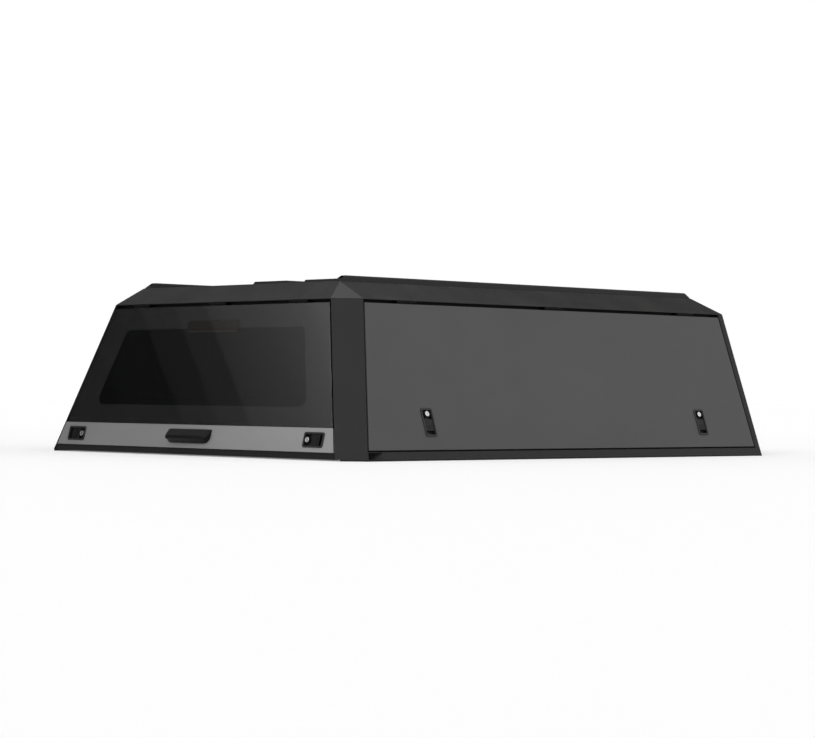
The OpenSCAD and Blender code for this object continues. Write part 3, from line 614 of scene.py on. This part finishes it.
# Pull handle: the CAD profile with moulded ends that draw in towards the strip
HANDLE_HALF = 0.118
HANDLE_DEPTH = 0.026
HANDLE_H = 0.050
HANDLE_LOW = HANDLE_V - HANDLE_H / 2
HANDLE_HIGH = HANDLE_V + HANDLE_H / 2
HANDLE_PROFILE = [(HANDLE_LOW + 0.002, 0.0), (HANDLE_LOW, 0.004), (HANDLE_LOW + 0.009, 0.009),
                  (HANDLE_LOW + 0.012, 0.013), (HANDLE_LOW + 0.008, HANDLE_DEPTH - 0.003),
                  (HANDLE_LOW + 0.012, HANDLE_DEPTH), (HANDLE_LOW + 0.022, HANDLE_DEPTH - 0.001),
                  (HANDLE_HIGH, 0.005), (HANDLE_HIGH, 0.0)]
HANDLE_END = [(1.0, 0.42, 0.30), (0.965, 0.26, 0.52), (0.91, 0.12, 0.76), (0.84, 0.035, 0.93),
              (0.76, 0.0, 1.0)]


def handle_shape():
    """Each station is (share of the half length, share of the height lost below, share of the depth)."""
    stations = [(-x, lift, deep) for x, lift, deep in HANDLE_END]
    stations += reversed(HANDLE_END)
    count = len(HANDLE_PROFILE)
    points, faces = [], []
    for x, lift, deep in stations:
        points += [(x * HANDLE_HALF, v + lift * (HANDLE_HIGH - v), w * deep) for v, w in HANDLE_PROFILE]
    last = (len(stations) - 1) * count
    for start in range(0, last, count):
        for n in range(count):
            nxt = (n + 1) % count
            faces.append((start + n, start + nxt, start + count + nxt, start + count + n))
    return points, faces + [tuple(range(count)), tuple(range(last, last + count))]


handle = piece("pull_handle", [(handle_shape(), REAR_PLANE.matrix(0, 0))], HANDLE_BLACK, "rear_door",
               bevel=(0.0016, 4))
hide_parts("rear_pull_handle")

# Rear glass: one pane with ground edges, darker inside its printed border
PANE_T = 0.0046
PANE_GAP = 0.001
BAND_SIDE = 0.128
BAND_TOP = 0.082
BAND_BOTTOM = 0.070
REAR_WINDOW_R = 0.028
ARC_STEPS = 8

# The window's two faces, as pane_shape numbers them
WINDOW_FACES = (4, 9)


def pane_shape():
    """The front, then the back, each as a border of four faces and the window, and the rim last."""
    outer = rear_outline(low=STRIP_TOP + PANE_GAP)
    window = sloped_quad(STRIP_TOP + BAND_BOTTOM, REAR_DOOR_TOP - BAND_TOP,
                         (BAND_SIDE - REAR_EDGE, -REAR_SHIFT), (REAR_EDGE - BAND_SIDE, REAR_SHIFT))
    inner = filleted(window, REAR_WINDOW_R, ARC_STEPS)
    arc, half, count = ARC_STEPS + 1, ARC_STEPS // 2, len(inner)
    points, faces = [], []
    for w in (0.0, -PANE_T):
        first = len(points)
        points += [(u, v, w) for u, v in outer + inner]
        for n in range(4):
            nxt = (n + 1) % 4
            run = [n * arc + k for k in range(half, arc)] + [nxt * arc + k for k in range(half + 1)]
            faces.append(tuple([first + n, first + nxt] + [first + 4 + k for k in reversed(run)]))
        faces.append(tuple(first + 4 + k for k in range(count)))
    back = 4 + count
    faces += [(n, (n + 1) % 4, back + (n + 1) % 4, back + n) for n in range(4)]
    return points, faces


pane = piece("rear_pane", [(pane_shape(), REAR_PLANE.matrix(0, 0))], BORDER_GLASS, "rear_door",
             bevel=(0.0006, 2))
pane.data.materials.append(WINDOW_GLASS)
for window_face in WINDOW_FACES:
    pane.data.polygons[window_face].material_index = 1
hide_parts("rear_glass")

# Brake light: a prismatic lens behind the glass
PRISM_H = 0.0014


def lamp_shape(columns=28, rows=4):
    """A box whose front is a grid of low pyramids."""
    points, faces = [], []
    step_x, step_y = 2 * LAMP_HALF / columns, LAMP_H / rows
    for n in range(columns + 1):
        for k in range(rows + 1):
            points.append((n * step_x - LAMP_HALF, k * step_y - LAMP_H / 2, LAMP_FRONT - PRISM_H))
    for n in range(columns):
        for k in range(rows):
            a = n * (rows + 1) + k
            b, c, d = a + rows + 1, a + rows + 2, a + 1
            tip = len(points)
            points.append(((n + 0.5) * step_x - LAMP_HALF, (k + 0.5) * step_y - LAMP_H / 2, LAMP_FRONT))
            faces += [(a, b, tip), (b, c, tip), (c, d, tip), (d, a, tip)]
    around = [n * (rows + 1) for n in range(columns)] + [columns * (rows + 1) + k for k in range(rows)]
    around += [n * (rows + 1) + rows for n in range(columns, 0, -1)] + list(range(rows, 0, -1))
    back = len(points)
    points += [(points[n][0], points[n][1], -DOOR_T) for n in around]
    for n in range(len(around)):
        nxt = (n + 1) % len(around)
        faces.append((around[n], around[nxt], back + nxt, back + n))
    return points, faces + [tuple(range(back, back + len(around)))]


lamp = piece("brake_lamp", [(lamp_shape(), REAR_PLANE.matrix(0, LAMP_V))], LAMP, "rear_door", smooth=5.0)
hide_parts("brake_light")

# Roof rails: screws along the floor of each slot, on the flat part of the roof
BEVEL_H = 0.062
BEVEL_SIDE = 0.130
BEVEL_REAR = 0.087
BEVEL_FRONT = 0.032
FLAT_X = BASE_W / 2 - SIDE_IN - BEVEL_SIDE
FLAT_REAR = REAR_Y + REAR_IN + BEVEL_REAR
FLAT_FRONT = FRONT_Y - FRONT_IN - BEVEL_FRONT
RAIL_W = 0.026
RAIL_H = 0.020
RAIL_EDGE_GAP = 0.003
SLOT_DEPTH = 0.011
RAIL_X = FLAT_X - RAIL_EDGE_GAP - RAIL_W / 2
SCREW_Z = EAVE_H + BEVEL_H + RAIL_H - SLOT_DEPTH
SCREW_END = 0.09
SCREW_COUNT = 6
screw_pitch = (FLAT_FRONT - FLAT_REAR - 2 * SCREW_END) / (SCREW_COUNT - 1)
screw_ys = [FLAT_REAR + SCREW_END + n * screw_pitch for n in range(SCREW_COUNT)]
button_head = turned([(0.0034, 0.0), (0.0034, 0.0007), (0.0029, 0.0016), (0.0018, 0.0021),
                      (0.0014, 0.0021), (0.0012, 0.0009), (0, 0.0009)], 18)
screw_places = [Matrix.Translation((x, y, SCREW_Z)) for x in (-RAIL_X, RAIL_X) for y in screw_ys]
screws = [(button_head, place) for place in screw_places]
piece("rail_screws", screws, ZINC, "root")


# Studio
WORLD_LEVEL = 0.58
FLOOR_HALF = 60.0
FLOOR_LIFT = 0.22
CARD_FADE = 1.1


def seen_white(tree):
    """1 for the camera, glossy and transmission rays, which see the background plain white."""
    light = tree.nodes.new("ShaderNodeLightPath")
    share = light.outputs["Is Camera Ray"]
    for path in ("Is Glossy Ray", "Is Transmission Ray"):
        top = tree.nodes.new("ShaderNodeMath")
        top.operation = "MAXIMUM"
        tree.links.new(share, top.inputs[0])
        tree.links.new(light.outputs[path], top.inputs[1])
        share = top.outputs[0]
    return share


def background(tree, strength):
    """A white background shader of this strength."""
    node = tree.nodes.new("ShaderNodeBackground")
    node.inputs["Color"].default_value = (1, 1, 1, 1)
    node.inputs["Strength"].default_value = strength
    return node.outputs[0]


def studio_world(light_level):
    """Even white light of this level, while the background itself shows plain white."""
    world = bpy.data.worlds.new("studio")
    world.use_nodes = True
    tree = world.node_tree
    tree.nodes.clear()
    output = tree.nodes.new("ShaderNodeOutputWorld")
    mix = tree.nodes.new("ShaderNodeMixShader")
    tree.links.new(seen_white(tree), mix.inputs[0])
    tree.links.new(background(tree, light_level), mix.inputs[1])
    tree.links.new(background(tree, 1.0), mix.inputs[2])
    tree.links.new(mix.outputs[0], output.inputs[0])
    bpy.context.scene.world = world


def soft_sun(name, toward, strength, angle):
    """A wide, soft light that falls evenly from one direction."""
    data = bpy.data.lights.new(name, "SUN")
    data.energy = strength
    data.angle = math.radians(angle)
    light = bpy.data.objects.new(name, data)
    light.rotation_euler = Vector(toward).to_track_quat("Z", "Y").to_euler()
    bpy.context.scene.collection.objects.link(light)


def flat_sheet(name, half_x, half_y):
    """A flat rectangle round its own origin."""
    mesh = bpy.data.meshes.new(name)
    corners = [(-half_x, -half_y, 0), (half_x, -half_y, 0), (half_x, half_y, 0), (-half_x, half_y, 0)]
    mesh.from_pydata(corners, [], [(0, 1, 2, 3)])
    sheet = bpy.data.objects.new(name, mesh)
    bpy.context.scene.collection.objects.link(sheet)
    return sheet


def card_glow(name, half_x, half_y, slant, shades):
    """A glow in shades, which are (place, grey) along x plus slant times y, faded at the card's edges."""
    g = Graph(name)
    split = g.add("ShaderNodeSeparateXYZ")
    g.join(g.place, split.inputs[0])
    along = g.math("ADD", split.outputs["X"], g.math("MULTIPLY", split.outputs["Y"], slant))
    first, last = shades[0][0], shades[-1][0]
    ramp = g.add("ShaderNodeValToRGB")
    g.join(g.math("DIVIDE", g.math("SUBTRACT", along, first), last - first), ramp.inputs[0])
    for _ in range(len(shades) - 2):
        ramp.color_ramp.elements.new(0.5)
    for stop, (where, grey) in zip(ramp.color_ramp.elements, shades):
        stop.position = (where - first) / (last - first)
        stop.color = (grey, grey, grey, 1.0)
    glow = g.add("ShaderNodeEmission")
    g.join(ramp.outputs[0], glow.inputs["Color"])
    solid = 1.0
    for axis, half in (("X", half_x), ("Y", half_y)):
        off = g.math("ABSOLUTE", split.outputs[axis])
        solid = g.math("MULTIPLY", g.spread(off, half - CARD_FADE, half, 1.0, 0.0), solid)
    blend = g.add("ShaderNodeMixShader")
    g.join(solid, blend.inputs[0])
    g.join(g.add("ShaderNodeBsdfTransparent").outputs[0], blend.inputs[1])
    g.join(glow.outputs[0], blend.inputs[2])
    g.join(blend.outputs[0], g.output.inputs["Surface"])
    return g.material


def reflection_card(name, aim, way, distance, size, slant, shades):
    """A card that only reflections see, facing aim from this distance along way."""
    half_x, half_y = size[0] / 2, size[1] / 2
    card = flat_sheet(name, half_x, half_y)
    way = Vector(way).normalized()
    card.location = Vector(aim) + way * distance
    card.rotation_euler = way.to_track_quat("-Z", "Y").to_euler()
    card.data.materials.append(card_glow(name, half_x, half_y, slant, shades))
    card.visible_camera = card.visible_diffuse = card.visible_shadow = False
    card.visible_transmission = card.visible_volume_scatter = False


def floor():
    """A wide pale floor, lifted towards white for the rays that see the background white."""
    sheet = flat_sheet("floor", FLOOR_HALF, FLOOR_HALF)
    g = Graph("pale_floor")
    g.feed(g.shader, Base_Color=(0.88, 0.88, 0.88, 1.0), Roughness=0.8, Specular_IOR_Level=0.1)
    g.feed(g.shader, Emission_Color=(1.0, 1.0, 1.0, 1.0))
    lift = g.math("MULTIPLY", seen_white(g.material.node_tree), FLOOR_LIFT)
    g.join(lift, g.shader.inputs["Emission Strength"])
    sheet.data.materials.append(g.material)


studio_world(WORLD_LEVEL)
soft_sun("key", (0.29, -0.70, 0.64), strength=1.05, angle=35)
soft_sun("fill", (0.85, 0.30, 0.42), strength=0.5, angle=60)

# The bands in the rear glass, the dark sheen of the roof and the bright rear facet
GLASS_BANDS = [(-1.2, 1.15), (-1.0, 1.0), (-0.8, 0.68), (-0.55, 0.46), (-0.35, 0.36), (-0.20, 0.28),
               (-0.18, 0.17), (0.01, 0.15), (0.03, 0.085), (0.24, 0.07), (0.26, 0.02), (0.58, 0.015),
               (0.62, 0.0), (1.2, 0.0)]
reflection_card("glass_card", aim=(0.0, -0.95, 0.30), way=(-0.779, -0.546, 0.309), distance=4.0,
                size=(6.0, 5.0), slant=-0.98, shades=GLASS_BANDS)
reflection_card("roof_flag", aim=(0.3, 0.0, 0.58), way=(-0.642, 0.539, 0.545), distance=6.0,
                size=(10.0, 5.2), slant=0.0, shades=[(-5.0, 0.05), (5.0, 0.05)])
reflection_card("facet_card", aim=(0.68, -0.88, 0.56), way=(-0.342, 0.302, 0.889), distance=6.0,
                size=(3.0, 3.0), slant=0.0, shades=[(-1.5, 1.9), (1.5, 1.9)])
floor()

# Camera: the photograph's place and view, with a long lens
CAMERA_PLACE = Vector((6.84256, -6.4655, 0.21618))
CAMERA_AIM = Vector((0.006, 0.0065, 0.313))
CAMERA_ROLL = math.radians(0.541)
camera_data = bpy.data.cameras.new("camera")
camera_data.lens = 111.6
camera_data.sensor_width = 36.0
camera = bpy.data.objects.new("camera", camera_data)
look = (CAMERA_AIM - CAMERA_PLACE).to_track_quat("-Z", "Y").to_matrix()
rolled = look @ Matrix.Rotation(CAMERA_ROLL, 3, "Z")
camera.matrix_world = Matrix.Translation(CAMERA_PLACE) @ rolled.to_4x4()
bpy.context.scene.collection.objects.link(camera)
bpy.context.scene.camera = camera

bpy.context.scene.view_settings.view_transform = "Standard"
